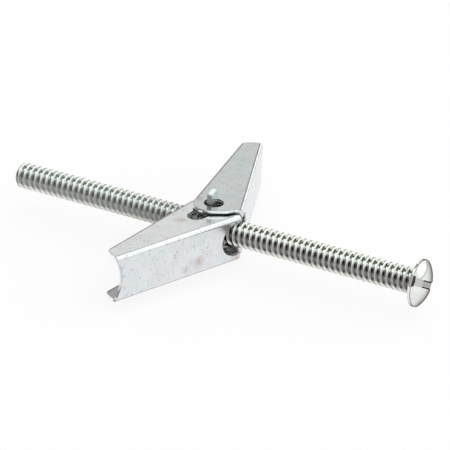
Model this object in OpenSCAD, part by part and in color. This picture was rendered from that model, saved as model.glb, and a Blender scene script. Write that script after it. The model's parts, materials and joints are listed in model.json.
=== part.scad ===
// Spring toggle bolt: a slotted machine screw, a trunnion nut with two lugs, two folding
// channel wings and the wire spring that drives them open. Millimetres.
// X runs along the screw towards its head, Z along the pivot line of the wings, and the origin
// is on the screw's axis at the underside of the head.

/* [Screw] */
// Length from the underside of the head to the tail
screw_length = 75.6; // [70:0.1:90]
// Outside diameter of the thread
screw_d = 4.5; // [4.2:0.05:4.6]
// Distance from one turn of the thread to the next
thread_pitch = 1.058; // [0.8:0.001:1.4]
// Depth of the thread
thread_depth = 0.52; // [0.3:0.02:0.6]
// Bevel at the tail
tail_bevel = 0.42; // [0.2:0.02:0.8]
// Diameter of the head
head_d = 8.1; // [7.4:0.1:9]
// Height of the straight rim of the head
head_rim = 0.52; // [0.4:0.02:0.8]
// Height of the dome above the rim
head_dome = 1.55; // [1.2:0.05:2.2]
// Width of the driver slot
slot_w = 1.3; // [0.9:0.05:1.5]
// Depth of the driver slot below the top of the dome
slot_depth = 1.1; // [0.7:0.05:1.3]
// Turn of the driver slot about the screw, from the Y axis
slot_turn = 151; // [0:1:180]

/* [Nut] */
// Distance from the underside of the head to the pivot line
pivot_reach = 38.3; // [30:0.1:45]
// Thickness of the trunnion plate
plate_t = 0.9; // [0.7:0.05:1]
// Width of the trunnion plate
plate_w = 6.2; // [5.8:0.1:6.6]
// Width of each lug
lug_w = 2.07; // [1.6:0.01:2.3]
// Height of the upper lug above the wing's ear
lug_proud = 2.06; // [1:0.02:2.4]
// Fall of a lug's sheared end from one edge to the other
lug_slant = 0.4; // [0:0.05:0.5]
// Outside diameter of the threaded collar
collar_d = 5.5; // [5.2:0.05:5.6]
// Length of the collar in front of the plate
collar_reach = 2.1; // [1.5:0.05:2.3]

/* [Wings] */
// Distance from the pivot to the tip of a wing
wing_length = 24.9; // [20:0.1:28]
// Height of the channel
wing_h = 8.28; // [8.2:0.02:9]
// Thickness of the sheet
sheet = 0.55; // [0.45:0.01:0.58]
// Outside radius of the channel's bends
bend_r = 0.85; // [0.75:0.05:1]
// Distance from the pivot line to the outside of the channel's back
back_reach = 5.2; // [5.1:0.05:5.6]
// Depth of the outer ear's flange beside the pivot, from the pivot line to the open edge
outer_depth = 3.45; // [3.3:0.05:3.8]
// Slope of the open edge of the outer ear's flange
outer_slope = 12; // [11:0.1:13]
// Depth of the inner ear's flange beside the pivot, from the pivot line to the open edge
inner_depth = 4.4; // [4.1:0.05:4.5]
// Slope of the open edge of the inner ear's flange
inner_slope = 14.4; // [13.5:0.1:15]
// Reach of the ears behind the pivot
ear_reach = 3.05; // [2.8:0.05:3.2]
// Diameter of the pivot hole in the outer ear
pivot_hole_d = 3.36; // [3:0.02:3.6]
// Far end of the assembly slot in the inner ear
slot_reach = 5.95; // [5:0.05:6.4]
// Radius of the notch round the screw
notch_r = 2.86; // [2.68:0.01:3]
// Depth of the hollow in the tip of the back
tip_hollow = 1; // [0.4:0.05:1.4]
// Angle between each wing and the tail of the screw when the wings are open
open_angle = 69; // [60:0.5:75]

/* [Spring] */
// Diameter of the spring wire
wire_d = 0.45; // [0.3:0.01:0.46]
// Radius of the wrap round the lug, at the middle of the wire
wrap_r = 1.52; // [1.45:0.01:1.7]
// Distance from the pivot to the end of each leg
leg_reach = 11; // [7:0.1:15]

/* [Clearances] */
// Radial gap between the screw and the nut
thread_gap = 0.05; // [0.03:0.01:0.08]
// Gap between the ears that lie over each other
ear_gap = 0.28; // [0.05:0.01:0.35]
// How far the wings hang below the middle of the screw in their play on the lugs
wing_drop = 0.15; // [0:0.01:0.2]
// How far the nut stands behind the pivot line in its play in the ears
nut_play = 0.3; // [0:0.01:0.32]
// Gap between an inner ear and the shoulder of the nut that it hangs on
shoulder_gap = 0.08; // [0.05:0.01:0.12]
// Gap on each side of the middle, where the two backs stop each other
stop_gap = 0.08; // [0.05:0.01:0.15]
// Gap between the spring wire and the sheet that it lies on
wire_gap = 0.03; // [0.02:0.01:0.05]

/* [Hidden] */
$fn = 64;
eps = 0.01;
arc_steps = 6;

screw_r = screw_d / 2;
head_r = head_d / 2;
dome_r = (head_r * head_r + head_dome * head_dome) / (2 * head_dome);
rim_bevel = 0.1;

// The thread is drawn as rings, one to each turn: shares of the pitch that the crest takes,
// and at which the root starts and ends
root_r = screw_r - thread_depth;
crest_share = 0.18;
root_start = 0.40;
root_end = 0.78;
// the last crest runs into the underside of the head
neck = 0.05;
turns = floor((screw_length - tail_bevel - neck) / thread_pitch);
thread_start = tail_bevel - screw_length;

// the two wings are one stamping turned over, so one sits half a sheet up and the other half a sheet down
nest_lift = (sheet + ear_gap) / 2;
half_h = wing_h / 2;
ear_top = half_h + nest_lift;
inner_face = half_h - sheet - nest_lift;
back_inner = back_reach - sheet;
// where the inside corners of the two backs stand stop_gap from the middle
back_end = (stop_gap - cos(open_angle) * back_inner) / sin(open_angle);
// the ears stop just short of the back at the tip
tip_short = 0.45;
tip_u = wing_length - tip_short;
// corner radii of the ears, and where their rounded heel turns in towards the back
ear_r = 2.75;
heel_r = 1.6;
heel_turn = 0.3;
heel_lean = 0.5;
heel_rise = 0.75;
back_corner_r = 0.4;
tip_r = 1.3;
// assembly slot: radius round the lug, radius at the far end, and its lean towards the back
slot_r = 2;
slot_end_r = 1.45;
slot_lean = 0.75;
// the notch is centred a little behind the pivot line
notch_shift = 0.6;
flat_half = half_h - bend_r;
tip_hollow_r = (flat_half * flat_half + tip_hollow * tip_hollow) / (2 * tip_hollow);

lug_tip = ear_top + lug_proud;
upper_shoulder = inner_face - wing_drop - shoulder_gap;
lower_shoulder = inner_face + wing_drop - wire_gap - wire_d - shoulder_gap;
nut_bore_r = screw_r + thread_gap;

wire_r = wire_d / 2;
wrap_z = wire_r + wire_gap - inner_face - wing_drop;
lug_corner_r = 0.3;
plate_corner_r = 0.7;
collar_fillet = 0.25;
collar_bevel = 0.2;
collar_end = plate_t / 2 + collar_reach;
leg_v = back_inner - wire_r - wire_gap;
wire_sides = 10;

function unit(v) = v / norm(v);

// points of an arc that rounds the corner b of a, b, c
function corner(a, b, c, r) =
    r == 0 ? [b] :
    let (
        p = unit(a - b),
        q = unit(c - b),
        half = acos(p * q) / 2,
        m = b + unit(p + q) * r / sin(half),
        s = b + p * r / tan(half) - m,
        e = b + q * r / tan(half) - m,
        a0 = atan2(s.y, s.x),
        turn = (atan2(e.y, e.x) - a0 + 540) % 360 - 180
    )
    [for (k = [0:arc_steps]) m + r * [cos(a0 + turn * k / arc_steps), sin(a0 + turn * k / arc_steps)]];

// outline through the first two numbers of each row, with the third as the corner's radius
function rounded(rows) =
    let (n = len(rows), p = [for (row = rows) [row[0], row[1]]])
    [for (i = [0:n - 1]) each corner(p[(i + n - 1) % n], p[i], p[(i + 1) % n], rows[i][2])];

// outline of two circles and their outer tangents, the first circle at the origin
function teardrop(r0, centre, r1) =
    let (aim = atan2(centre.y, centre.x), k = acos((r0 - r1) / norm(centre)), n = 24)
    concat(
        [for (i = [0:n]) r0 * [cos(aim + k + (360 - 2 * k) * i / n), sin(aim + k + (360 - 2 * k) * i / n)]],
        [for (i = [0:n]) centre + r1 * [cos(aim - k + 2 * k * i / n), sin(aim - k + 2 * k * i / n)]]
    );

// ---- screw ----

// outline of one ring of the thread, from the tail side of its crest to the end of its root
function ring(start) = [
    [screw_r, start],
    [screw_r, start + crest_share * thread_pitch],
    [root_r, start + root_start * thread_pitch],
    [root_r, start + root_end * thread_pitch]
];

// half of the screw's outline, with the axis upright and the head on top
module screw_profile() {
    polygon([
        [0, -screw_length],
        [screw_r - tail_bevel, -screw_length],
        for (turn = [0:turns - 1]) each ring(thread_start + turn * thread_pitch),
        [screw_r, thread_start + turns * thread_pitch],
        [screw_r, 0],
        [head_r - rim_bevel, 0],
        [head_r, rim_bevel],
        [head_r, head_rim],
        [0, head_rim]
    ]);
    // low dome
    intersection() {
        translate([0, head_rim + head_dome - dome_r])
        circle(dome_r, $fn = 128);
        translate([0, head_rim - eps])
        square([head_r, head_dome + 1]);
    }
}

module machine_screw() {
    color([0.80, 0.82, 0.80])
    difference() {
        rotate([0, 90, 0])
        rotate_extrude()
        screw_profile();
        // driver slot, right across the head
        rotate([slot_turn, 0, 0])
        translate([head_rim + head_dome - slot_depth, -head_d, -slot_w / 2])
        cube([head_dome + slot_depth, 2 * head_d, slot_w]);
    }
}

// ---- nut ----

// the stamped plate, seen along the screw: shoulders carry the wings and the lugs reach through them
module trunnion_outline() {
    polygon(rounded([
        [-lug_w / 2, -lug_tip, lug_corner_r],
        [lug_w / 2, lug_slant - lug_tip, lug_corner_r],
        [lug_w / 2, -lower_shoulder, 0],
        [plate_w / 2, -lower_shoulder, plate_corner_r],
        [plate_w / 2, upper_shoulder, plate_corner_r],
        [lug_w / 2, upper_shoulder, 0],
        [lug_w / 2, lug_tip, lug_corner_r],
        [-lug_w / 2, lug_tip - lug_slant, lug_corner_r],
        [-lug_w / 2, upper_shoulder, 0],
        [-plate_w / 2, upper_shoulder, plate_corner_r],
        [-plate_w / 2, -lower_shoulder, plate_corner_r],
        [-lug_w / 2, -lower_shoulder, 0]
    ]));
}

// the drawn collar that holds the thread, with its root rounded into the plate
module collar() {
    rotate([0, 90, 0])
    rotate_extrude()
    polygon([
        [0, 0],
        [collar_d / 2 + collar_fillet, plate_t / 2],
        [collar_d / 2, plate_t / 2 + collar_fillet],
        [collar_d / 2, collar_end - collar_bevel],
        [collar_d / 2 - collar_bevel, collar_end],
        [0, collar_end]
    ]);
}

module trunnion_nut() {
    color([0.74, 0.78, 0.78])
    translate([-pivot_reach - nut_play, 0, 0])
    difference() {
        union() {
            rotate([90, 0, 90])
            linear_extrude(plate_t, center = true)
            trunnion_outline();
            collar();
        }
        rotate([0, 90, 0])
        cylinder(h = 4 * collar_end, r = nut_bore_r, center = true);
    }
}

// ---- wings ----
// A wing is drawn with its length along +X and its back at -Y, the outer ear on top.

// the channel seen along the wing: an outer block with two rounded corners
module channel_block(front, half, r) {
    reach = 2 * back_reach;
    translate([-front, r - half])
    square([reach, 2 * (half - r)]);
    translate([r - front, -half])
    square([reach - r, 2 * half]);
    for (side = [-1, 1])
        translate([r - front, side * (half - r)])
        circle(r);
}

// the stamping seen along the pivot, flattened onto the flange that carries one ear
module ear_outline(depth, slope) {
    rise = tan(slope);
    polygon(rounded([
        [-ear_reach, depth + rise * ear_reach, ear_r],
        [-ear_reach, heel_turn, heel_r],
        [heel_lean - ear_reach, -back_reach / 2, heel_r],
        [back_end, heel_rise - back_inner, back_corner_r],
        [back_end, -back_reach - 1, 0],
        [wing_length, -back_reach - 1, 0],
        [wing_length, 2 * tip_short - back_inner, 0],
        [tip_u, depth - rise * tip_u, tip_r]
    ]));
}

// lets the screw through the back, from its end at the pivot
module notch() {
    translate([-notch_shift, -back_reach - 1, 0]) {
        rotate([-90, 0, 0])
        cylinder(h = back_reach, r = notch_r);
        translate([-back_reach, 0, -notch_r])
        cube([back_reach, back_reach, 2 * notch_r]);
    }
}

module wing() {
    difference() {
        intersection() {
            translate([-ear_reach - 1, 0, 0])
            rotate([90, 0, 90])
            linear_extrude(wing_length + ear_reach + 2)
            difference() {
                channel_block(back_reach, half_h, bend_r);
                channel_block(back_inner, half_h - sheet, bend_r - sheet);
            }
            // the flange with the assembly slot is cut wider than the one with the round hole
            union() {
                linear_extrude(wing_h)
                ear_outline(outer_depth, outer_slope);
                mirror([0, 0, 1])
                linear_extrude(wing_h)
                ear_outline(inner_depth, inner_slope);
            }
        }
        // round hole in the outer ear
        cylinder(h = wing_h, r = pivot_hole_d / 2);
        // assembly slot in the inner ear, wide round the lug and narrowing along the wing
        translate([0, 0, -wing_h])
        linear_extrude(wing_h)
        polygon(teardrop(slot_r, [slot_reach - slot_end_r, -slot_lean], slot_end_r));
        notch();
        // hollow edge at the tip of the back
        translate([wing_length - tip_hollow + tip_hollow_r, -back_reach - 1, 0])
        rotate([-90, 0, 0])
        cylinder(h = sheet + 1 + eps, r = tip_hollow_r, $fn = 128);
    }
}

module placed_wing() {
    translate([-pivot_reach, 0, 0])
    rotate([0, 0, 180 - open_angle])
    translate([0, 0, nest_lift])
    wing();
}

module left_wing() {
    color([0.80, 0.83, 0.82])
    translate([0, 0, -wing_drop])
    placed_wing();
}

module right_wing() {
    color([0.84, 0.86, 0.90])
    translate([0, 0, -wing_drop])
    rotate([180, 0, 0])
    placed_wing();
}

// ---- spring ----

// a point of the right leg, at u along the wing and z above the middle of the wing
function on_back(u, z) = [
    sin(open_angle) * leg_v - cos(open_angle) * u,
    -sin(open_angle) * u - cos(open_angle) * leg_v,
    z - nest_lift - wing_drop
];

// half of the wire, from behind the lower lug round to the end of the right leg
half_route = concat(
    [for (a = [180:18:270]) [wrap_r * cos(a) - nut_play, wrap_r * sin(a), wrap_z]],
    [
        [1.2, -1.58, wrap_z],
        [2.4, -1.66, wrap_z + 0.02],
        [3.3, -1.85, wrap_z + 0.55],
        [3.75, -2.1, wrap_z + 1.2],
        on_back(0.9, -1.1),
        on_back(2, -0.75),
        on_back(4, -0.35),
        on_back(7, -0.1),
        on_back(leg_reach, 0)
    ]
);
last = len(half_route) - 1;
route = concat(
    [for (i = [last:-1:1]) [half_route[i].x, -half_route[i].y, half_route[i].z]],
    half_route
);

// Catmull-Rom curve through the route
function spline(p, steps) =
    let (n = len(p))
    [for (i = [0:n - 2], k = [0:(i == n - 2 ? steps : steps - 1)])
        let (
            a = p[max(i - 1, 0)],
            b = p[i],
            c = p[i + 1],
            d = p[min(i + 2, n - 1)],
            t = k / steps
        )
        (2 * b + (c - a) * t + (2 * a - 5 * b + 4 * c - d) * t * t + (3 * b - a - 3 * c + d) * t * t * t) / 2
    ];

function tangent(p, i) = unit(p[min(i + 1, len(p) - 1)] - p[max(i - 1, 0)]);

// sideways directions carried along the wire without twist
function carried(p) =
    [for (i = 0, side = unit(cross(tangent(p, 0), [0, 0, 1]));
        i < len(p);
        i = i + 1,
        side = i < len(p) ? unit(side - (side * tangent(p, i)) * tangent(p, i)) : side)
        side];

module wire(p, r) {
    n = len(p);
    side = carried(p);
    rings = [for (i = [0:n - 1], k = [0:wire_sides - 1])
        let (a = 360 * k / wire_sides)
        p[i] + r * (cos(a) * side[i] + sin(a) * cross(tangent(p, i), side[i]))];
    walls = [for (i = [0:n - 2], k = [0:wire_sides - 1])
        let (m = (k + 1) % wire_sides, s = wire_sides)
        [i * s + k, (i + 1) * s + k, (i + 1) * s + m, i * s + m]];
    ends = [
        [for (k = [0:wire_sides - 1]) k],
        [for (k = [wire_sides - 1:-1:0]) (n - 1) * wire_sides + k]
    ];
    polyhedron(rings, concat(walls, ends), convexity = 6);
}

module torsion_spring() {
    color([0.70, 0.71, 0.70])
    translate([-pivot_reach, 0, 0])
    wire(spline(route, 3), wire_r);
}

machine_screw();
trunnion_nut();
left_wing();
right_wing();
torsion_spring();
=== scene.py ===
"""Looks of the spring toggle bolt: a threaded screw, a trunnion nut, two sheet wings and their wire spring.

Lengths are in metres. X runs along the screw to its head, Z along the pivot line of the wings.
"""
import json
import math
from contextlib import contextmanager

import bmesh
import bpy
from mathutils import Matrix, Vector

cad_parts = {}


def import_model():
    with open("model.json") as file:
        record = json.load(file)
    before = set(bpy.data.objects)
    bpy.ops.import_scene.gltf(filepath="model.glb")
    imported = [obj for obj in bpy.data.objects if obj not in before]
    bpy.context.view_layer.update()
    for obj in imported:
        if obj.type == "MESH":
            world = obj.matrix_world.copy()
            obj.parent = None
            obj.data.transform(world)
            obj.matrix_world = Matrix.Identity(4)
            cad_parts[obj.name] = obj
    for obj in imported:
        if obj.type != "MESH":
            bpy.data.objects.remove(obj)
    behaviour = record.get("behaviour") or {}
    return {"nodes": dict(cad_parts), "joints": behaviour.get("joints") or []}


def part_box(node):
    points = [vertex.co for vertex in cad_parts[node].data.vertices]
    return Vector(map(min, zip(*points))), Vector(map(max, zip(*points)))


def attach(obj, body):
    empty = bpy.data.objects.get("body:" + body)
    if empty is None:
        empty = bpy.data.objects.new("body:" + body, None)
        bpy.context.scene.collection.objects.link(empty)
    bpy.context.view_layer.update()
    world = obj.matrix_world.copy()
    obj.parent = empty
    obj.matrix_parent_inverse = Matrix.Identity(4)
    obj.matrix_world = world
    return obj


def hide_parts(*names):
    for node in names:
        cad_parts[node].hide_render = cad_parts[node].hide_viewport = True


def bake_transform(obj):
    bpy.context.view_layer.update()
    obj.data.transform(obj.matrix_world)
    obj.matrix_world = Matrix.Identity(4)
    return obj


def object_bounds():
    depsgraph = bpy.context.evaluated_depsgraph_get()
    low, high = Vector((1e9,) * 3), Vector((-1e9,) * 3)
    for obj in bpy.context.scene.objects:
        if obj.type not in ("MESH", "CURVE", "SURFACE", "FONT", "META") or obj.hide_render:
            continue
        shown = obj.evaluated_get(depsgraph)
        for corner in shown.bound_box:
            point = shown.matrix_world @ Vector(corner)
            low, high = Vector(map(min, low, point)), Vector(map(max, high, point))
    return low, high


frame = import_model()
cad_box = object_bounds()

MM = 0.001

SCREW_LO, SCREW_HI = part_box("machine_screw")
HEAD_R = SCREW_HI.z
HEAD_TOP = SCREW_HI.x
TAIL = SCREW_LO.x
# the thread, at 24 turns to the inch: its radius over the crests and at the roots
PITCH = 25.4 / 24 * MM
SCREW_R = 2.17 * MM
ROOT_R = 1.75 * MM
# the height of the head's straight rim, and the driver slot across its dome
HEAD_RIM = 0.52 * MM
SLOT_W = 1.3 * MM
SLOT_DEPTH = 1.1 * MM
SLOT_TURN = math.radians(151)

# the pivot line of the wings, and the angle from an open wing to the screw's tail, through which it folds
LEFT_FOLD = next(joint for joint in frame["joints"] if joint["name"] == "left_fold")
PIVOT_X = LEFT_FOLD["pos_m"][0]
OPEN = math.radians(LEFT_FOLD["range_deg"][1])
# the side of the screw on which each wing opens: 1 is towards Y
WINGS = {"left_wing": 1, "right_wing": -1}
# the thickness of the wings' sheet, and the distance from the pivot line to the outside of a wing's back
SHEET = 0.55 * MM
BACK_REACH = 5.2 * MM


# ---- mesh helpers ----

# points of the frame's meshes that are closer than this are one point
SAME_PLACE = 1e-7
# angle in degrees up to which the frame's triangles are one flat face
FLAT_WITHIN = 0.6
# angle in degrees from which an edge of a round piece is shown sharp
SHARP_FROM = 50


def new_object(name, data):
    obj = bpy.data.objects.new(name, data)
    bpy.context.scene.collection.objects.link(obj)
    return obj


def mesh_from(name, verts, faces):
    mesh = bpy.data.meshes.new(name)
    mesh.from_pydata(verts, [], faces)
    mesh.validate()
    mesh.update()
    return mesh


@contextmanager
def editing(mesh):
    """The mesh open for editing, written back at the end."""
    bm = bmesh.new()
    bm.from_mesh(mesh)
    yield bm
    bm.to_mesh(mesh)
    bm.free()


def cut_off(bm, point, beyond):
    """Removes what lies beyond the point in the given direction, and leaves the cut open."""
    geom = bm.verts[:] + bm.edges[:] + bm.faces[:]
    bmesh.ops.bisect_plane(bm, geom=geom, dist=1e-9, plane_co=point, plane_no=beyond, clear_outer=True)


def close_ends(bm):
    open_edges = [edge for edge in bm.edges if len(edge.link_faces) == 1]
    bmesh.ops.holes_fill(bm, edges=open_edges, sides=0)
    bmesh.ops.recalc_face_normals(bm, faces=bm.faces)


def join_flat_faces(mesh):
    """Joins the frame's triangles into whole flat faces."""
    with editing(mesh) as bm:
        bmesh.ops.remove_doubles(bm, verts=bm.verts, dist=SAME_PLACE)
        limit = math.radians(FLAT_WITHIN)
        bmesh.ops.dissolve_limit(bm, angle_limit=limit, verts=bm.verts, edges=bm.edges, delimit={"NORMAL"})
        bmesh.ops.recalc_face_normals(bm, faces=bm.faces)


def smooth(obj):
    obj.data.shade_smooth()
    obj.data.set_sharp_from_angle(angle=math.radians(SHARP_FROM))


def apply_modifiers(obj):
    graph = bpy.context.evaluated_depsgraph_get()
    mesh = bpy.data.meshes.new_from_object(obj.evaluated_get(graph))
    obj.modifiers.clear()
    obj.data = mesh


def bevel(obj, width, segments, angle, slot=-1):
    """Rounds the edges sharper than the angle and keeps flat faces flat in the light.

    slot is the place of the rounded edges' own material, or -1 where they have none.
    """
    obj.data.shade_smooth()
    rounding = obj.modifiers.new("bevel", "BEVEL")
    rounding.width = width
    rounding.segments = segments
    rounding.limit_method = "ANGLE"
    rounding.angle_limit = math.radians(angle)
    rounding.use_clamp_overlap = True
    rounding.material = slot
    flat = obj.modifiers.new("flat", "WEIGHTED_NORMAL")
    flat.weight = 100
    flat.keep_sharp = True
    apply_modifiers(obj)


# ---- screw ----

# points round the screw in one turn of the thread
THREAD_STEPS = 48
# from the middle of a crest to the middle of a root: share of the pitch, share of the thread's depth
HALF_FORM = [
    (0.00, 1.00),
    (0.07, 1.00),
    (0.135, 1.00),
    (0.155, 0.97),
    (0.23, 0.66),
    (0.30, 0.34),
    (0.355, 0.06),
    (0.38, 0.00),
    (0.50, 0.00),
]
THREAD_FORM = HALF_FORM + [(1 - share, depth) for share, depth in HALF_FORM[-2:0:-1]]
# where the crest stands on the screw, as a share of the pitch
THREAD_PHASE = 0.43
# the thread ends just inside the solid's tail, and inside the head
TAIL_END = TAIL + 0.02 * MM
HEAD_END = 0.15 * MM
TAIL_BEVEL_LENGTH = 0.55 * MM
TAIL_BEVEL_DEPTH = 0.75 * MM


def helix(bm):
    """Sweeps the thread's form along the screw, right-handed, and past both of its ends."""
    spare_turns = 2
    turns = int(-TAIL / PITCH) + 2 * spare_turns
    rows = turns * THREAD_STEPS
    start = TAIL + (THREAD_PHASE - spare_turns) * PITCH
    points = []
    for k in range(rows + THREAD_STEPS + 1):
        angle = 2 * math.pi * k / THREAD_STEPS
        for share, depth in THREAD_FORM:
            x = start + PITCH * (k / THREAD_STEPS + share)
            r = ROOT_R + (SCREW_R - ROOT_R) * depth
            points.append(bm.verts.new((x, -r * math.sin(angle), r * math.cos(angle))))
    form = len(THREAD_FORM)
    for k in range(rows):
        for j in range(form):
            a = k * form + j
            b = a + form
            # the last point of a turn's form joins the first point of the next turn's
            step = 1 if j < form - 1 else THREAD_STEPS * form - j
            bm.faces.new([points[i] for i in (a, b, b + step, a + step)])
    loose = [vert for vert in bm.verts if not vert.link_faces]
    bmesh.ops.delete(bm, geom=loose, context="VERTS")


def thread_mesh():
    """Right-hand thread, cut square and bevelled at the tail, and run into the head."""
    mesh = bpy.data.meshes.new("screw_thread")
    with editing(mesh) as bm:
        helix(bm)
        cut_off(bm, (TAIL_END, 0, 0), (-1, 0, 0))
        cut_off(bm, (HEAD_END, 0, 0), (1, 0, 0))
        for vert in bm.verts:
            along = vert.co.x - TAIL
            limit = SCREW_R - TAIL_BEVEL_DEPTH * (1 - along / TAIL_BEVEL_LENGTH)
            r = math.hypot(vert.co.y, vert.co.z)
            if along < TAIL_BEVEL_LENGTH and r > limit:
                vert.co.y *= limit / r
                vert.co.z *= limit / r
        close_ends(bm)
    return mesh


def head_outline():
    """Half of the head's outline: underside, rounded rim and low dome."""
    dome = HEAD_TOP - HEAD_RIM
    dome_r = (HEAD_R**2 + dome**2) / (2 * dome)
    dome_steps = 22
    rim_round = 0.12 * MM
    round_steps = 4
    # a small bevel joins the straight rim to the dome
    rim_bevel = 0.10 * MM
    dome_inset = 0.03 * MM
    inside_thread = SCREW_R * 0.6
    points = [(0.0, inside_thread), (0.0, HEAD_R - rim_round)]
    for k in range(1, round_steps + 1):
        a = math.radians(90 * k / round_steps)
        points.append((rim_round * (1 - math.cos(a)), HEAD_R - rim_round * (1 - math.sin(a))))
    points.append((HEAD_RIM - rim_bevel, HEAD_R))
    edge = math.asin((HEAD_R - dome_inset) / dome_r)
    for k in range(dome_steps):
        a = edge * (1 - k / dome_steps)
        points.append((HEAD_TOP - dome_r + dome_r * math.cos(a), dome_r * math.sin(a)))
    return points


def head_mesh():
    """The outline turned round the screw, closed below and above."""
    sides = 128
    outline = head_outline()
    verts = []
    for x, r in outline:
        for k in range(sides):
            a = 2 * math.pi * k / sides
            verts.append((x, r * math.cos(a), r * math.sin(a)))
    top = len(verts)
    verts.append((HEAD_TOP, 0, 0))
    last = (len(outline) - 1) * sides
    faces = []
    for ring in range(0, last, sides):
        for k in range(sides):
            m = (k + 1) % sides
            faces.append((ring + k, ring + sides + k, ring + sides + m, ring + m))
    for k in range(sides):
        faces.append((last + k, top, last + (k + 1) % sides))
    faces.append(tuple(reversed(range(sides))))
    mesh = mesh_from("screw_head", verts, faces)
    with editing(mesh) as bm:
        bmesh.ops.recalc_face_normals(bm, faces=bm.faces)
    return mesh


def slot_cutter():
    """A bar that reaches past both sides of the head, from the slot's floor upwards."""
    mesh = bpy.data.meshes.new("slot_cutter")
    height = 4 * SLOT_DEPTH
    length = 4 * HEAD_R
    c, s = math.cos(SLOT_TURN), math.sin(SLOT_TURN)
    with editing(mesh) as bm:
        bmesh.ops.create_cube(bm, size=1)
        for vert in bm.verts:
            x = (vert.co.x + 0.5) * height + HEAD_TOP - SLOT_DEPTH
            y, z = vert.co.y * length, vert.co.z * SLOT_W
            vert.co = (x, c * y - s * z, s * y + c * z)
    return new_object("slot_cutter", mesh)


def head_object():
    head = new_object("screw_head", head_mesh())
    cutter = slot_cutter()
    cut = head.modifiers.new("slot", "BOOLEAN")
    cut.operation = "DIFFERENCE"
    cut.solver = "EXACT"
    cut.object = cutter
    bevel(head, width=0.05 * MM, segments=2, angle=40)
    bpy.data.objects.remove(cutter)
    return head


def screw(thread_finish, head_finish):
    body = new_object("screw", thread_mesh())
    body.data.materials.append(thread_finish)
    smooth(body)
    head = head_object()
    head.data.materials.append(head_finish)
    bpy.ops.object.select_all(action="DESELECT")
    head.select_set(True)
    body.select_set(True)
    bpy.context.view_layer.objects.active = body
    bpy.ops.object.join()
    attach(body, "screw")
    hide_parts("machine_screw")


# ---- wings, nut and spring ----


def dressed(node, body, face, edge, width):
    """The frame's own solid with its sheared edges rounded and duller."""
    mesh = frame["nodes"][node].data.copy()
    mesh.materials.clear()
    join_flat_faces(mesh)
    mesh.materials.append(face)
    mesh.materials.append(edge)
    obj = new_object(node + "_sheet", mesh)
    bevel(obj, width, segments=3, angle=35, slot=mesh.materials.find(edge.name))
    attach(obj, body)
    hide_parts(node)


def spring_half(wing, side, material):
    """One leg of the wire with its half of the wrap."""
    mesh = frame["nodes"]["torsion_spring"].data.copy()
    mesh.materials.clear()
    with editing(mesh) as bm:
        bmesh.ops.remove_doubles(bm, verts=bm.verts, dist=SAME_PLACE)
        cut_off(bm, (0, 0, 0), (0, -side, 0))
        close_ends(bm)
    obj = new_object(wing + "_spring_leg", mesh)
    smooth(obj)
    obj.data.materials.append(material)
    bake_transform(obj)
    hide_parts("torsion_spring")


# ---- materials ----

WHITE = (1.0, 1.0, 1.0)


class Nodes:
    """Short ways to add and join shader nodes."""

    def __init__(self, owner):
        owner.use_nodes = True
        self.tree = owner.node_tree
        self.tree.nodes.clear()

    def put(self, socket, value):
        if hasattr(value, "is_output"):
            self.tree.links.new(value, socket)
        elif socket.type == "RGBA":
            socket.default_value = (*value[:3], 1)
        else:
            socket.default_value = value

    def add(self, kind, inputs=None, **settings):
        node = self.tree.nodes.new(kind)
        for key, value in settings.items():
            setattr(node, key, value)
        for key, value in (inputs or {}).items():
            self.put(node.inputs[key], value)
        return node

    def math(self, operation, a, b=0.0):
        return self.add("ShaderNodeMath", {0: a, 1: b}, operation=operation).outputs[0]

    def times(self, first, *others):
        """The product, which for masks is where all of them hold."""
        for other in others:
            first = self.math("MULTIPLY", first, other)
        return first

    def within(self, value, centre, reach):
        """1 where the value lies within reach of the centre, otherwise 0."""
        off = self.math("ABSOLUTE", self.math("SUBTRACT", value, centre))
        return self.math("LESS_THAN", off, reach)

    def turned(self, a, b, angle):
        """a and b as seen from axes turned by the angle."""
        cos, sin = math.cos(angle), math.sin(angle)
        along = self.math("ADD", self.math("MULTIPLY", a, cos), self.math("MULTIPLY", b, sin))
        across = self.math("SUBTRACT", self.math("MULTIPLY", b, cos), self.math("MULTIPLY", a, sin))
        return along, across

    def split(self, vector):
        return self.add("ShaderNodeSeparateXYZ", {"Vector": vector}).outputs

    def vector(self, operation, a, b=(0, 0, 0)):
        return self.add("ShaderNodeVectorMath", {0: a, 1: b}, operation=operation).outputs["Value"]

    def normal(self):
        return self.split(self.add("ShaderNodeTexCoord").outputs["Normal"])

    def noise(self, place, scale, detail=3.0, rough=0.6):
        inputs = {"Vector": place, "Scale": scale, "Detail": detail, "Roughness": rough}
        return self.add("ShaderNodeTexNoise", inputs).outputs["Fac"]

    def spread(self, value, low, high, to_low=0.0, to_high=1.0, kind="SMOOTHSTEP"):
        inputs = {"Value": value, "From Min": low, "From Max": high, "To Min": to_low, "To Max": to_high}
        return self.add("ShaderNodeMapRange", inputs, interpolation_type=kind).outputs["Result"]

    def ramp(self, value, stops):
        node = self.add("ShaderNodeValToRGB", {"Fac": value})
        elements = node.color_ramp.elements
        while len(elements) < len(stops):
            elements.new(0.5)
        for element, (place, colour) in zip(elements, stops):
            element.position = place
            element.color = (*colour, 1)
        return node.outputs["Color"]

    def mix(self, share, a, b, blend="MIX"):
        inputs = {0: share, 6: a, 7: b}
        return self.add("ShaderNodeMix", inputs, data_type="RGBA", blend_type=blend).outputs[2]


# features to the metre in the plating's clouds, waves and grain
CLOUDS = 420
WAVES = 240
GRAIN = 5200
# cells to the metre, size of a speck in its cell, and share of the cells that hold one
COARSE_SPECKS = 1500, 0.26, 0.22
FINE_SPECKS = 3100, 0.36, 0.12
SPECK_TINT = (0.24, 0.20, 0.17)


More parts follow.
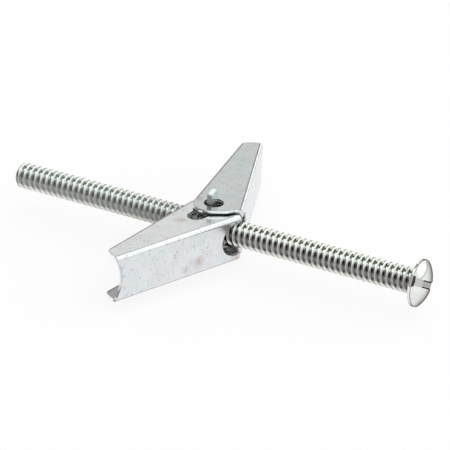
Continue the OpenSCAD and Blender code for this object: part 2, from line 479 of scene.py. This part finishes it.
def specks(n, place, scale, size, share):
    """Small round marks in a share of the cells of a fine grid."""
    cells = n.add("ShaderNodeTexVoronoi", {"Vector": place, "Scale": scale})
    near = n.spread(cells.outputs["Distance"], size, size * 0.4)
    pick = n.add("ShaderNodeSeparateColor", {0: cells.outputs["Color"]}).outputs[0]
    return n.times(near, n.math("LESS_THAN", pick, share))


def zinc(name, dark, light, rough, speck=0.3, shade=None, rim=WHITE):
    """Bright zinc plate: a faint cloudy tint, fine grain and small dark specks.

    dark and light are the ends of the cloudy tint, and speck is the strength of the specks. shade takes the
    nodes and the place, and returns a tint to multiply with, which holds painted light and shade, and the
    metallic share. rim tints grazing light.
    """
    material = bpy.data.materials.new(name)
    n = Nodes(material)
    place = n.add("ShaderNodeTexCoord").outputs["Object"]
    cloud = n.noise(place, CLOUDS, 4)
    grain = n.noise(place, GRAIN)
    wave = n.noise(place, WAVES, 1)
    colour = n.ramp(cloud, [(0.36, dark), (0.62, light)])
    darker = tuple(channel * 0.55 for channel in dark)
    colour = n.mix(n.spread(grain, 0.5, 0.75, 0.0, 0.16), colour, darker)
    marks = n.math("MAXIMUM", specks(n, place, *COARSE_SPECKS), specks(n, place, *FINE_SPECKS))
    colour = n.mix(n.times(marks, speck), colour, SPECK_TINT)
    metal = 1.0
    if shade:
        tint, metal = shade(n, place)
        colour = n.mix(1.0, colour, tint, "MULTIPLY")
    height = n.math("ADD", n.times(wave, 2.0), grain)
    bump = n.add("ShaderNodeBump", {"Height": height, "Strength": 0.10, "Distance": 0.02 * MM})
    finish = {
        "Base Color": colour,
        "Metallic": metal,
        "Roughness": n.spread(grain, 0.3, 0.7, rough - 0.05, rough + 0.08),
        "Normal": bump.outputs["Normal"],
        "Specular Tint": rim,
    }
    shader = n.add("ShaderNodeBsdfPrincipled", finish)
    n.add("ShaderNodeOutputMaterial", {"Surface": shader.outputs[0]})
    return material


# ---- finish, with painted light and shade, of the thread and the head ----

# painted light and shade on the thread's roots, crests and front flanks, from the underside of the screw to
# its top:
# painted shade in the roots, painted highlights in the light bands and painted dark reflections in the thin
# dark bands
ROOT_PAINTED_LIGHT = [
    (0.12, (0.05, 0.05, 0.045)),
    (0.31, (0.08, 0.08, 0.075)),
    (0.40, (0.18, 0.19, 0.185)),
    (0.50, (0.21, 0.22, 0.215)),
    (0.60, (0.14, 0.135, 0.135)),
    (0.69, (0.020, 0.018, 0.018)),
    (0.78, (0.020, 0.018, 0.018)),
    (0.82, (0.17, 0.17, 0.17)),
    (0.87, (0.62, 0.66, 0.64)),
    (0.935, (0.85, 0.90, 0.86)),
    (0.950, (0.035, 0.045, 0.020)),
    (0.967, (0.035, 0.045, 0.020)),
    (0.979, (0.40, 0.43, 0.36)),
    (0.989, (0.035, 0.045, 0.020)),
]
CREST_PAINTED_LIGHT = [
    (0.10, (0.62, 0.59, 0.57)),
    (0.29, (0.55, 0.52, 0.50)),
    (0.38, (0.13, 0.12, 0.115)),
    (0.43, (0.12, 0.11, 0.105)),
    (0.53, (0.30, 0.28, 0.275)),
    (0.64, (0.34, 0.31, 0.31)),
    (0.73, (0.21, 0.18, 0.185)),
    (0.79, (0.40, 0.38, 0.38)),
    (0.85, (0.88, 0.90, 0.89)),
    (0.935, (0.97, 1.0, 0.97)),
    (0.948, (0.28, 0.30, 0.24)),
    (0.964, (0.30, 0.32, 0.26)),
    (0.980, (0.95, 0.96, 0.92)),
]
FLANK_PAINTED_LIGHT = [
    (0.08, (1.20, 1.18, 1.16)),
    (0.25, (1.15, 1.13, 1.11)),
    (0.32, (0.74, 0.72, 0.71)),
    (0.42, (0.60, 0.58, 0.57)),
    (0.53, (0.64, 0.62, 0.61)),
    (0.63, (0.54, 0.52, 0.52)),
    (0.74, (0.80, 0.79, 0.79)),
    (0.81, (1.12, 1.12, 1.11)),
    (0.87, (1.25, 1.27, 1.25)),
]
# tint of the rear part of the thread, and the stretch of the screw over which it comes in
TAIL_TINT = (0.50, 0.54, 0.53)
TAIL_TINT_FROM = -36 * MM
TAIL_TINT_TO = -46 * MM
# the painted dark reflection along the crest's front corner
CORNER_REFLECTION_TINT = (0.05, 0.055, 0.035)


def thread_shade(n, place):
    """Roots, crests and frosted front flanks, each tinted by how high it stands round the screw: painted
    shade, painted highlights and painted dark reflections.
    """
    parts = n.split(place)
    across = n.add("ShaderNodeCombineXYZ", {"Y": parts["Y"], "Z": parts["Z"]}).outputs[0]
    radius = n.vector("LENGTH", across)
    # 0 at the underside of the screw, 1 at its top
    up = n.math("ADD", n.math("DIVIDE", n.math("DIVIDE", parts["Z"], radius), 2.0), 0.5)
    # 0 at the roots, 1 at the crests
    height = n.spread(radius, ROOT_R, SCREW_R, kind="LINEAR")
    tilt = n.normal()["X"]
    front = n.spread(tilt, 0.15, 0.45)
    rear = n.spread(parts["X"], TAIL_TINT_FROM, TAIL_TINT_TO, 0.0, 0.40)
    # painted shade in the roots, and painted highlights and dark reflections on the crests
    colour = n.mix(n.spread(height, 0.12, 0.32), n.ramp(up, ROOT_PAINTED_LIGHT), n.ramp(up, CREST_PAINTED_LIGHT))
    colour = n.mix(rear, colour, TAIL_TINT)
    # painted highlights on the front flanks
    flank = n.times(front, n.spread(height, 0.05, 0.20))
    colour = n.mix(flank, colour, n.ramp(up, FLANK_PAINTED_LIGHT))
    # a painted dark reflection: a fine dark line along the crest's front corner on top
    leaning = n.times(n.spread(tilt, 0.04, 0.14), n.spread(tilt, 0.80, 0.65))
    on_top = n.times(n.spread(up, 0.930, 0.945), n.spread(height, 0.80, 0.90))
    colour = n.mix(n.times(leaning, on_top), colour, CORNER_REFLECTION_TINT)
    return colour, n.math("SUBTRACT", 1.0, n.times(front, 0.8))


# painted shade in the crease round the head and in its slot
RIM_SHADE_TINT = (0.16, 0.11, 0.09)
SLOT_FLOOR_SHADE = (0.80, 0.82, 0.80)
SLOT_WALL_SHADE = (0.04, 0.035, 0.035)
SLOT_END_SHADE = (0.04, 0.025, 0.025)


def head_shade(n, place):
    """Painted shade: a thin brown line where the rim meets the dome, and dark walls and ends of the slot."""
    parts = n.split(place)
    # painted shade along the crease where the straight rim meets the dome
    rim = n.within(parts["X"], HEAD_RIM, 0.07 * MM)
    colour = n.mix(n.times(rim, 0.7), WHITE, RIM_SHADE_TINT)
    along, across = n.turned(parts["Y"], parts["Z"], SLOT_TURN)
    off = n.math("ABSOLUTE", across)
    # painted shade on the floor and walls of one half of the slot
    in_slot = n.times(
        n.math("LESS_THAN", off, SLOT_W / 2 + 0.03 * MM),
        n.math("GREATER_THAN", parts["X"], HEAD_TOP - SLOT_DEPTH - 0.05 * MM),
        n.spread(along, 0.3 * MM, -0.2 * MM),
    )
    wall = n.math("GREATER_THAN", off, SLOT_W / 2 - 0.20 * MM)
    colour = n.mix(in_slot, colour, n.mix(wall, SLOT_FLOOR_SHADE, SLOT_WALL_SHADE))
    # painted shade where the slot runs out at the rim
    run_out = n.times(
        n.spread(off, SLOT_W / 2 + 0.40 * MM, SLOT_W / 2 + 0.15 * MM),
        n.spread(n.math("ABSOLUTE", along), HEAD_R - 0.60 * MM, HEAD_R - 0.45 * MM),
        n.math("GREATER_THAN", parts["X"], HEAD_RIM + 0.02 * MM),
    )
    return n.mix(n.times(run_out, 0.95), colour, SLOT_END_SHADE), 1.0


# ---- finish, with painted light and shade, of the wings and the nut ----

FLANGE_SHADE = {"left_wing": (0.74, 0.74, 0.73), "right_wing": (0.90, 0.88, 0.87)}
INSIDE_SHADE = (0.50, 0.50, 0.50)
SHEARED_HIGHLIGHT = (1.25, 1.24, 1.24)
HOLE_WALL_SHADE = (0.12, 0.11, 0.11)
HOLE_BAND_HIGHLIGHT = (1.25, 1.25, 1.25)
PAINTED_LINE_TINT = (0.50, 0.41, 0.40)
SMUDGE_TINT = (0.70, 0.58, 0.51)
COOL_TINT = (0.975, 1.0, 1.01)
WARM_TINT = (1.01, 0.985, 0.992)
# brown smudges on each wing: the place and the radius, in mm
SMUDGES = {
    "left_wing": [((-41.2, -0.1, 4.4), 1.4)],
    "right_wing": [
        ((-33.1, -1.1, -4.2), 1.9),
        ((-36.1, -8.7, -2.3), 1.7),
        ((-40.6, -7.1, 3.6), 1.9),
        ((-36.9, -11.6, -2.9), 1.0),
    ],
}
# the open edge of each wing's upper ear: its depth beside the pivot, and its slope along the wing
OPEN_EDGE = {
    "left_wing": (3.45 * MM, math.radians(12)),
    "right_wing": (4.4 * MM, math.radians(14.4)),
}
# features to the metre in the drift of the tint and in the broken edges of the smudges
DRIFT = 380
RAGGED = 3200
# how far the painted dark line lies inside the open edge, and where along the wing it starts
LINE_INSET = 0.15 * MM
LINE_START = 1.2 * MM
# the strip that holds the pivot hole and the slot: half its width, its slope, its middle and half its length
HOLE_HALF_WIDTH = 2.1 * MM
HOLE_SLOPE = 0.13
HOLE_MIDDLE = 1.95 * MM
HOLE_HALF_LENGTH = 4.1 * MM


def wing_axes(n, place, side, middle):
    """A wing's own directions from the pivot: u along it, v to its open edge, w up as the left wing lies."""
    parts = n.split(place)
    x = n.math("SUBTRACT", parts["X"], PIVOT_X)
    y = n.times(parts["Y"], side)
    u, v = n.turned(x, y, math.pi - OPEN)
    w = n.times(n.math("SUBTRACT", parts["Z"], middle), side)
    return u, v, w


def painted_dark_lines(n, wing, u, v, w, half_height):
    """Painted dark lines along the open edge of each ear, and a painted dark reflection along the lower
    bend.
    """
    depth, slope = OPEN_EDGE[wing]
    from_edge = n.math("SUBTRACT", n.math("ADD", v, n.times(u, math.tan(slope))), depth - LINE_INSET)
    at_edge = n.spread(n.math("ABSOLUTE", from_edge), 0.19 * MM, 0.08 * MM)
    at_edge = n.times(at_edge, n.math("GREATER_THAN", u, LINE_START))
    at_bend = n.times(
        n.math("GREATER_THAN", n.times(w, -WINGS[wing]), half_height - 0.45 * MM),
        n.math("LESS_THAN", v, 0.9 * MM - BACK_REACH),
    )
    return n.math("MAXIMUM", at_edge, at_bend)


def smudges(n, wing, place):
    """Soft blotches with broken edges."""
    ragged = n.noise(place, RAGGED, 5, 0.7)
    total = 0.0
    for centre, radius in SMUDGES[wing]:
        off = n.vector("DISTANCE", place, Vector(centre) * MM)
        total = n.math("MAXIMUM", total, n.spread(off, radius * MM, 0.0))
    return n.times(total, n.spread(ragged, 0.35, 0.60))


def wing_shade(wing):
    """Painted shade on the flanges, the insides and the hole walls, painted highlights on the sheared edges
    and in a band in the holes, painted dark lines at the open edges and the lower bend, and brown smudges.
    """
    lowest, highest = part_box(wing)
    middle = (lowest.z + highest.z) / 2
    half_height = (highest.z - lowest.z) / 2

    def shade(n, place):
        u, v, w = wing_axes(n, place, WINGS[wing], middle)
        below_ear = n.math("SUBTRACT", half_height, n.math("ABSOLUTE", w))
        before_back = n.math("ADD", v, BACK_REACH)
        level = n.math("ABSOLUTE", n.normal()["Z"])

        # painted shade on the inner faces of the channel
        depth_in = n.math("MINIMUM", below_ear, before_back)
        inner_face = n.spread(depth_in, SHEET - 0.05 * MM, SHEET - 0.01 * MM)
        tint = n.mix(inner_face, WHITE, INSIDE_SHADE)
        # painted shade on the faces that lie flat
        tint = n.mix(n.spread(level, 0.90, 0.99), tint, FLANGE_SHADE[wing], "MULTIPLY")
        # a painted highlight on the upright sheared edges
        upright = n.math("LESS_THAN", level, 0.3)
        sheared = n.times(upright, n.math("GREATER_THAN", before_back, 1.0 * MM))
        tint = n.mix(sheared, tint, SHEARED_HIGHLIGHT)

        # painted shade on the walls of the pivot hole and of the slot, with a painted highlight in one
        # bright band
        strip = n.math("ADD", v, n.times(u, HOLE_SLOPE))
        at_hole = n.times(n.within(strip, 0.0, HOLE_HALF_WIDTH), n.within(u, HOLE_MIDDLE, HOLE_HALF_LENGTH))
        wall = n.times(at_hole, sheared)
        band = n.within(below_ear, 0.30 * MM, 0.08 * MM)
        tint = n.mix(wall, tint, n.mix(band, HOLE_WALL_SHADE, HOLE_BAND_HIGHLIGHT))

        # painted dark lines at the open edges and along the lower bend
        tint = n.mix(painted_dark_lines(n, wing, u, v, w, half_height), tint, PAINTED_LINE_TINT, "MULTIPLY")
        drift = n.spread(n.noise(place, DRIFT, 3, 0.6), 0.40, 0.60)
        tint = n.mix(1.0, tint, n.mix(drift, COOL_TINT, WARM_TINT), "MULTIPLY")
        tint = n.mix(smudges(n, wing, place), tint, SMUDGE_TINT, "MULTIPLY")
        return tint, n.math("SUBTRACT", 1.0, n.times(wall, band, 0.9))

    return shade


# distances from the middle between which the painted shade on the nut's plate inside the wings gives way to
# its bright lugs
LUG_FROM = 4.3 * MM
LUG_TO = 4.7 * MM
LUG_TINT = (0.88, 0.88, 0.87)
LUG_SIDE_SHADE = (0.84, 0.70, 0.71)
LUG_END_HIGHLIGHT = (1.2, 1.08, 1.08)
NUT_PLATE_SHADE = (0.18, 0.18, 0.185)


def nut_shade(n, place):
    """Bright lugs with painted highlights on their ends and painted shade, with a pinker tone, on their
    narrow sides, and painted shade on the plate inside the wings.
    """
    lug = n.spread(n.math("ABSOLUTE", n.split(place)["Z"]), LUG_FROM, LUG_TO)
    normal = n.normal()
    narrow_side = n.math("GREATER_THAN", n.math("ABSOLUTE", normal["Y"]), 0.5)
    end = n.math("GREATER_THAN", n.math("ABSOLUTE", normal["Z"]), 0.5)
    # painted highlight on the ends of the lugs, and painted shade with a pinker tone on their narrow sides
    lug_tint = n.mix(end, n.mix(narrow_side, LUG_TINT, LUG_SIDE_SHADE), LUG_END_HIGHLIGHT)
    return n.mix(lug, NUT_PLATE_SHADE, lug_tint), 0.6


# ---- stage ----

# the photograph's view: the way it looks, its right side, where it stands, and its focal length in pixels
VIEW_FORWARD = Vector((-0.41361, 0.79693, -0.44026))
VIEW_RIGHT = Vector((0.87843, 0.47642, 0.03713))
VIEW_PLACE = Vector((333.915, -712.796, 394.687)) * MM
FOCAL_PIXELS = 5369.8
PHOTO_PIXELS = 450
SENSOR_WIDTH = 36


def camera():
    """The photograph's own view, found from the screw, the wings and the head."""
    data = bpy.data.cameras.new("camera")
    data.sensor_width = SENSOR_WIDTH
    data.sensor_fit = "HORIZONTAL"
    data.lens = FOCAL_PIXELS * SENSOR_WIDTH / PHOTO_PIXELS
    data.clip_start = 0.05
    data.clip_end = 20
    obj = new_object("camera", data)
    columns = VIEW_RIGHT, VIEW_RIGHT.cross(VIEW_FORWARD), -VIEW_FORWARD, VIEW_PLACE
    matrix = obj.matrix_world.copy()
    for i, column in enumerate(columns):
        for j in range(3):
            matrix[j][i] = column[j]
    obj.matrix_world = matrix
    bpy.context.scene.camera = obj


def floor():
    """White table: it shows white to the camera and to the metal, and keeps a light shadow."""
    half = 4.0
    z = cad_box[0][2] - 0.02 * MM
    corners = [(-half, -half, z), (half, -half, z), (half, half, z), (-half, half, z)]
    obj = new_object("floor", mesh_from("floor", corners, [(0, 1, 2, 3)]))
    material = bpy.data.materials.new("floor_white")
    n = Nodes(material)
    paper = n.add("ShaderNodeBsdfDiffuse", {"Color": (0.96, 0.96, 0.96)}).outputs[0]
    glow = n.add("ShaderNodeEmission", {"Color": WHITE, "Strength": 1.0}).outputs[0]
    path = n.add("ShaderNodeLightPath").outputs
    seen = n.math("MAXIMUM", path["Is Camera Ray"], path["Is Glossy Ray"])
    seen = n.math("MAXIMUM", seen, path["Is Transmission Ray"])
    both = n.add("ShaderNodeMixShader", {0: n.times(seen, 0.85), 1: paper, 2: glow})
    n.add("ShaderNodeOutputMaterial", {"Surface": both.outputs[0]})
    obj.data.materials.append(material)


# the studio's surfaces as the metal mirrors them
DIM_ROOM = (0.36, 0.34, 0.34)
WHITE_SHEET = (1.3, 1.32, 1.32)
GREY_WALL = (0.92, 0.94, 0.93)
PALE_CARD = (0.95, 0.98, 0.96)
DARK_FRAME = (0.16, 0.11, 0.11)
DARK_GAP = (0.20, 0.23, 0.18)
# where they stand round the part: share of a turn from -X
STUDIO_WALLS = [
    (0.0, DIM_ROOM),
    (0.215, DIM_ROOM),
    (0.245, WHITE_SHEET),
    (0.45, WHITE_SHEET),
    (0.475, GREY_WALL),
    (0.54, GREY_WALL),
    (0.55, WHITE_SHEET),
    (0.93, WHITE_SHEET),
    (0.98, DIM_ROOM),
]
# heights over the horizon, where 1 is straight up: the middle and the reach of a dark skirting, and where
# the light overhead starts and is full
SKIRTING = 0.015, 0.03
OVERHEAD = 0.78, 0.86
# the way to the middle of a gap in that light, and how close to it the gap starts and is full, as cosines
GAP_WAY = (-0.420, 0.276, 0.864)
GAP = 0.958, 0.972
# the same for the pale card and for its dark frame, which shows only from about here on along X
CARD_WAY = (-0.414, 0.797, 0.440)
CARD = 0.955, 0.965
CARD_FRAME = 0.890, 0.905
CARD_FRAME_FROM = -0.36, -0.30


def world():
    """A plain studio: light overhead, white sheets, a grey wall, a pale card and a dim room."""
    studio = bpy.data.worlds.new("studio")
    bpy.context.scene.world = studio
    n = Nodes(studio)
    way = n.add("ShaderNodeTexCoord").outputs["Generated"]
    parts = n.split(way)
    turn = n.math("ADD", n.math("DIVIDE", n.math("ARCTAN2", parts["Y"], parts["X"]), 2 * math.pi), 0.5)
    skirting = n.within(parts["Z"], *SKIRTING)
    colour = n.mix(n.times(skirting, 0.8), n.ramp(turn, STUDIO_WALLS), DARK_FRAME)
    colour = n.mix(n.spread(parts["Z"], *OVERHEAD), colour, WHITE_SHEET)
    near_gap = n.vector("DOT_PRODUCT", way, GAP_WAY)
    colour = n.mix(n.spread(near_gap, *GAP), colour, DARK_GAP)
    near_card = n.vector("DOT_PRODUCT", way, CARD_WAY)
    card_frame = n.times(n.spread(near_card, *CARD_FRAME), n.spread(parts["X"], *CARD_FRAME_FROM))
    colour = n.mix(card_frame, colour, DARK_FRAME)
    colour = n.mix(n.spread(near_card, *CARD), colour, PALE_CARD)
    back = n.add("ShaderNodeBackground", {"Color": colour, "Strength": 1.0})
    n.add("ShaderNodeOutputWorld", {"Surface": back.outputs[0]})


# ---- the whole part ----

# dark and light tint of each plating, and its roughness
WING_PLATING = (0.73, 0.75, 0.765), (0.80, 0.82, 0.835), 0.20
SCREW_PLATING = (0.80, 0.83, 0.81), (0.88, 0.90, 0.88), 0.10
NUT_PLATING = (0.58, 0.70, 0.69), (0.66, 0.79, 0.78), 0.14
EDGE_PLATING = (0.10, 0.08, 0.08), (0.22, 0.18, 0.17), 0.30
WIRE_PLATING = (0.36, 0.36, 0.35), (0.5, 0.5, 0.48), 0.25


def main():
    camera()
    world()
    floor()
    thread = zinc("zinc_thread", *SCREW_PLATING, shade=thread_shade, rim=(0.6, 0.5, 0.46))
    head = zinc("zinc_head", *SCREW_PLATING, shade=head_shade, rim=(0.12, 0.08, 0.06))
    screw(thread, head)
    edge = zinc("zinc_edge", *EDGE_PLATING)
    for wing in WINGS:
        face = zinc("zinc_" + wing, *WING_PLATING, speck=0.8, shade=wing_shade(wing))
        dressed(wing, wing, face, edge, 0.10 * MM)
    nut_face = zinc("zinc_nut", *NUT_PLATING, shade=nut_shade)
    dressed("trunnion_nut", "nut", nut_face, edge, 0.08 * MM)
    wire = zinc("zinc_wire", *WIRE_PLATING)
    for wing, side in WINGS.items():
        spring_half(wing, side, wire)


bpy.context.scene.view_settings.view_transform = "Standard"
main()
